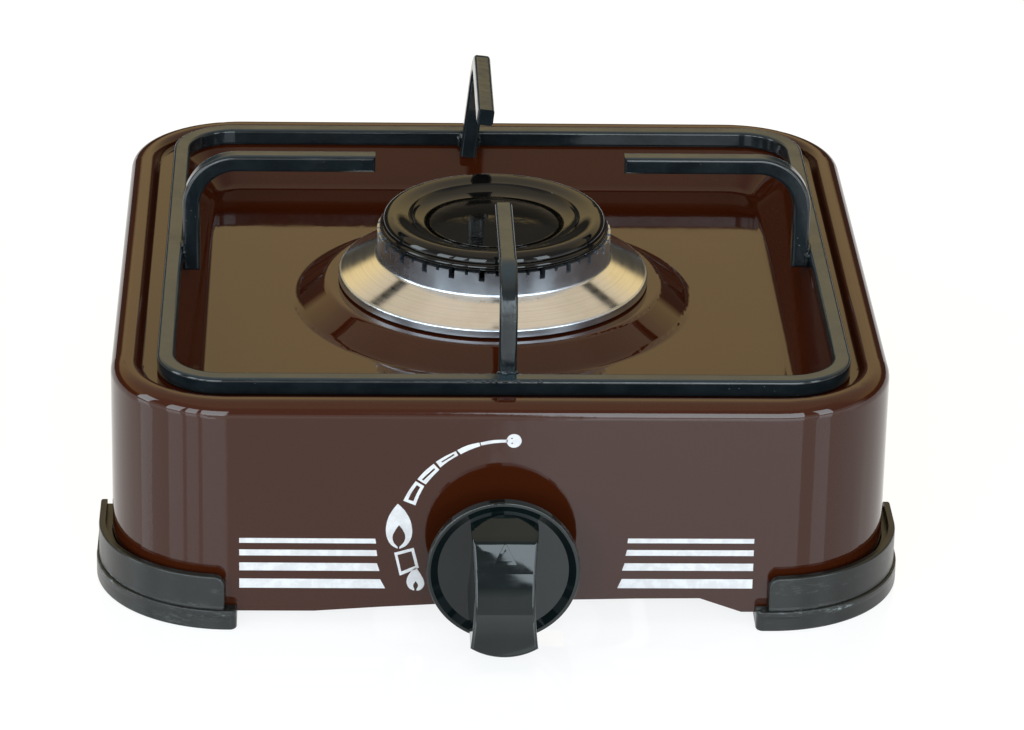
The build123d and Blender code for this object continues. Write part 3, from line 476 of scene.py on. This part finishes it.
# Stripes: four on each side of the knob, thicker lower down, with the inner ends on a slant. Each row is its
# top, its bottom and the inner end's place at the top and at the bottom; the left ones fall a little inward.
LEFT_EDGE, RIGHT_EDGE = -86.7, 83.4
left_stripes = [(31.4, 29.6, -41.9, -41.6), (27.2, 25.0, -41.5, -41.2), (22.4, 19.5, -41.3, -40.4),
                (16.5, 13.1, -40.2, -38.5)]
right_stripes = [(31.6, 29.9, 41.6, 41.4), (27.4, 25.3, 41.4, 40.9), (22.5, 19.8, 40.7, 39.9),
                 (16.7, 13.3, 39.9, 38.5)]
for side, edge, stripes, fall_high, fall_low in (
        ("left", LEFT_EDGE, left_stripes, 0.15, 0.1), ("right", RIGHT_EDGE, right_stripes, 0.0, 0.0)):
    for row, (high, low, inner_high, inner_low) in enumerate(stripes, 1):
        corners = [(edge, high), (inner_high, high - fall_high), (inner_low, low - fall_low), (edge, low)]
        printed(f"print_{side}_stripe_{row}", (corners, SHARP, ()))


# ---------------------------------------------------------------- welds of the pan support

RING_INNER = 0.1095                 # from the ring's middle to its inner edge
RING_TOP = 0.0822
BAR = 0.006
SPATTER_REACH = 0.1152              # from the ring's middle to just inside its outer face
SUPPORT_SHIFT = 0.001               # the whole support stands this far to the right
ARM_SHIFTS = {"right": 0.0, "back": -0.0068, "left": 0.0, "front": -0.0005}

# Each weld's half size, and its middle seen from an arm that points to the right.
SIDE_WELD = (0.0012, 0.0013, 0.0029)
SIDE_WELD_AT = (RING_INNER - 0.0004, BAR / 2 + 0.0002, RING_TOP - 0.0032)
TOP_WELD = (0.0011, 0.0030, 0.0007)
TOP_WELD_AT = (RING_INNER - 0.0002, 0.0, RING_TOP + 0.0001)
SIDE_LUMPS, TOP_LUMPS, SPATTER_LUMPS = 0.28, 0.4, 0.5


def bead(name, centre, half_size, seed, lumps):
    """A lumpy closed blob of weld metal under the enamel."""
    broad, fine, fine_share = 1.6, 3.7, 0.5
    drift = Vector((seed * 3.1, seed * 1.7, seed * 0.9))
    work = bmesh.new()
    bmesh.ops.create_icosphere(work, subdivisions=4, radius=1.0)
    for vertex in work.verts:
        swell = (mathnoise.noise(vertex.co * broad + drift)
                 + fine_share * mathnoise.noise(vertex.co * fine + drift))
        vertex.co *= 1.0 + lumps * swell
        vertex.co = Vector(part * size for part, size in zip(vertex.co, half_size)) + Vector(centre)
    mesh = bpy.data.meshes.new(name)
    work.to_mesh(mesh)
    work.free()
    mesh.polygons.foreach_set("use_smooth", [True] * len(mesh.polygons))
    mesh.materials.append(finishes["black_enamel"])
    piece = linked(name, mesh)
    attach(piece, "pan_support")


for number, (side, shift) in enumerate(ARM_SHIFTS.items()):
    turn = Matrix.Rotation(number * math.pi / 2, 3, "Z")
    foot = Vector((SUPPORT_SHIFT, 0.0, 0.0)) + turn @ Vector((0.0, -shift, 0.0))
    side_size, top_size = ([abs(part) for part in turn @ Vector(size)] for size in (SIDE_WELD, TOP_WELD))
    for hand, letter in ((-1, "a"), (1, "b")):
        across, along, up = SIDE_WELD_AT
        corner = foot + turn @ Vector((across, hand * along, up))
        bead(f"weld_{side}_{letter}", corner, side_size, 5 * number + hand, SIDE_LUMPS)
    bead(f"weld_{side}_top", foot + turn @ Vector(TOP_WELD_AT), top_size, 5 * number + 3, TOP_LUMPS)

# Spatter from the front weld lies under the enamel on the ring's outer edge: each drop's place and radius in mm.
spatter = [(-12.6, 0.50), (-11.2, 0.62), (-9.4, 0.45), (-7.4, 0.60), (-5.2, 0.52), (-3.3, 0.66), (-0.4, 0.55),
           (2.0, 0.60), (4.1, 0.48), (9.1, 0.55), (11.0, 0.62)]
for number, (across, radius) in enumerate(spatter):
    every_other = number % 2
    centre = (SUPPORT_SHIFT + across * MM, -SPATTER_REACH + 0.0002 * every_other, RING_TOP - 0.0006)
    size = [radius * MM * 1.5, radius * MM, radius * MM]
    bead(f"weld_spatter_{number}", centre, size, 40 + number, SPATTER_LUMPS)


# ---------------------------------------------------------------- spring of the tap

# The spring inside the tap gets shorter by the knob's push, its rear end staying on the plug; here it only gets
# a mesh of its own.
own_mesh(frame["nodes"]["tap_spring"])


# ---------------------------------------------------------------- floor

FLOOR_HALF = 6.0
FLOOR_GLOW = 0.84                   # with the lamps' light on the floor this makes the background white

sheet = bpy.data.meshes.new("floor")
sheet.from_pydata(
    [(across * FLOOR_HALF, along * FLOOR_HALF, 0) for across, along in ((-1, -1), (1, -1), (1, 1), (-1, 1))],
    [], [(0, 1, 2, 3)])
floor = linked("floor", sheet)
floor_finish, g = new_material("white_tabletop")
path = g.add("LightPath").outputs
mirrored = g.either(path["Is Glossy Ray"], path["Is Transmission Ray"])
shown = g.either(path["Is Camera Ray"], mirrored)
cloud = g.span(g.noise(g.place(), 1.3, 2.0), 0.3, 0.7)
g.finish(
    Base_Color=g.mix(cloud, colour(0.200, 0.205, 0.210), colour(0.212, 0.217, 0.222)), Roughness=0.035, IOR=1.5,
    Emission_Color=colour(0.98, 0.99, 1.0), Emission_Strength=g.math("MULTIPLY", shown, FLOOR_GLOW),
)
sheet.materials.append(floor_finish)


# ---------------------------------------------------------------- world and lamps

world = bpy.data.worlds.new("studio")
scene.world = world
world.use_nodes = True
g = Graph(world.node_tree)
_, along, up = g.parts(g.add("TexCoord").outputs["Generated"])


def by_height(stops):
    """The room's colour from (height, colour) stops; a height is the sine of the angle over the horizon."""
    node = g.add("ValToRGB", {0: up})
    elements = node.color_ramp.elements
    for element, (position, value) in zip(elements, (stops[0], stops[-1])):
        element.position, element.color = position, colour(*value)
    for position, value in stops[1:-1]:
        elements.new(position).color = colour(*value)
    return node.outputs[0]


# A dim room in front of the stove, and a warm wall over a dark shelf behind it, which the tray mirrors.
pale = (0.95, 0.94, 0.92)
ceiling = (0.72, 0.61, 0.47)
shelf = (0.06, 0.055, 0.045)
behind = by_height([
    (0.04, shelf), (0.28, shelf), (0.35, (0.90, 0.68, 0.33)), (0.47, (0.88, 0.68, 0.36)),
    (0.62, (0.70, 0.58, 0.41)), (0.84, (0.64, 0.54, 0.40)), (0.90, ceiling),
])
before = by_height([(0.17, pale), (0.27, (0.30, 0.28, 0.27)), (0.80, (0.36, 0.33, 0.30)), (0.90, ceiling)])
room = g.mix(g.span(along, -0.15, 0.2), before, behind)
camera_ray = g.add("LightPath").outputs["Is Camera Ray"]
background = g.add("Background", {0: g.mix(camera_ray, room, colour(1.0, 1.0, 1.0)), 1: 1.0})
g.tree.links.new(background.outputs[0], g.add("OutputWorld").inputs[0])

# Windows: (first and last bearing in degrees to the right of the front, radiance).
WINDOWS = {
    "lamp_right_wide": (2.5, 29.0, 6.0),
    "lamp_right_narrow": (42.0, 56.0, 5.4),
    "lamp_left_near": (-27.0, -9.0, 5.4),
    "lamp_left_mid": (-42.0, -31.0, 5.1),
    "lamp_left_far": (-60.0, -46.0, 5.4),
    "lamp_left_side": (-93.0, -78.0, 5.1),
}
WINDOW_DISTANCE = 3.0
SILL, HEAD = 4.0, 34.0              # degrees above the floor, seen from the stove
DAYLIGHT = (0.80, 0.93, 1.0)
POWER_PER_RADIANCE = math.pi        # for each square metre of lamp

window_tilt = math.radians((SILL + HEAD) / 2)
window_height = 2 * WINDOW_DISTANCE * math.tan(math.radians(HEAD - SILL) / 2)
for name, (start, end, radiance) in WINDOWS.items():
    middle = math.radians((start + end) / 2)
    place = WINDOW_DISTANCE * Vector((
        math.sin(middle) * math.cos(window_tilt), -math.cos(middle) * math.cos(window_tilt),
        math.sin(window_tilt)))
    width = 2 * WINDOW_DISTANCE * math.cos(window_tilt) * math.tan(math.radians(end - start) / 2)
    lamp = bpy.data.lights.new(name, "AREA")
    lamp.shape = "RECTANGLE"
    lamp.size, lamp.size_y = width, window_height
    lamp.energy = radiance * width * window_height * POWER_PER_RADIANCE
    lamp.color = DAYLIGHT
    item = bpy.data.objects.new(name, lamp)
    item.matrix_world = Matrix.Translation(place) @ place.to_track_quat("Z", "Y").to_matrix().to_4x4()
    item.visible_camera = False
    scene.collection.objects.link(item)


# ---------------------------------------------------------------- camera

TARGET = Vector((0.007383, 0.0, 0.036278))
AZIMUTH, ELEVATION, ROLL = (math.radians(angle) for angle in (-2.381, 23.979, 1.232))
DISTANCE = 1.7152
FOCAL_LENGTH, SENSOR_WIDTH = 170.285, 36.0

toward = Vector((
    math.sin(AZIMUTH) * math.cos(ELEVATION), -math.cos(AZIMUTH) * math.cos(ELEVATION), math.sin(ELEVATION)))
level_right = (-toward).cross(Vector((0, 0, 1))).normalized()
level_up = level_right.cross(-toward)
right = math.cos(ROLL) * level_right + math.sin(ROLL) * level_up
upward = math.cos(ROLL) * level_up - math.sin(ROLL) * level_right
lens = bpy.data.cameras.new("camera")
lens.sensor_fit = "HORIZONTAL"
lens.sensor_width = SENSOR_WIDTH
lens.lens = FOCAL_LENGTH
lens.clip_start, lens.clip_end = 0.05, 50.0
camera = bpy.data.objects.new("camera", lens)
stand = Matrix.Translation(TARGET + DISTANCE * toward)
camera.matrix_world = stand @ Matrix((right, upward, toward)).transposed().to_4x4()
scene.collection.objects.link(camera)
scene.camera = camera

scene.view_settings.view_transform = "Standard"
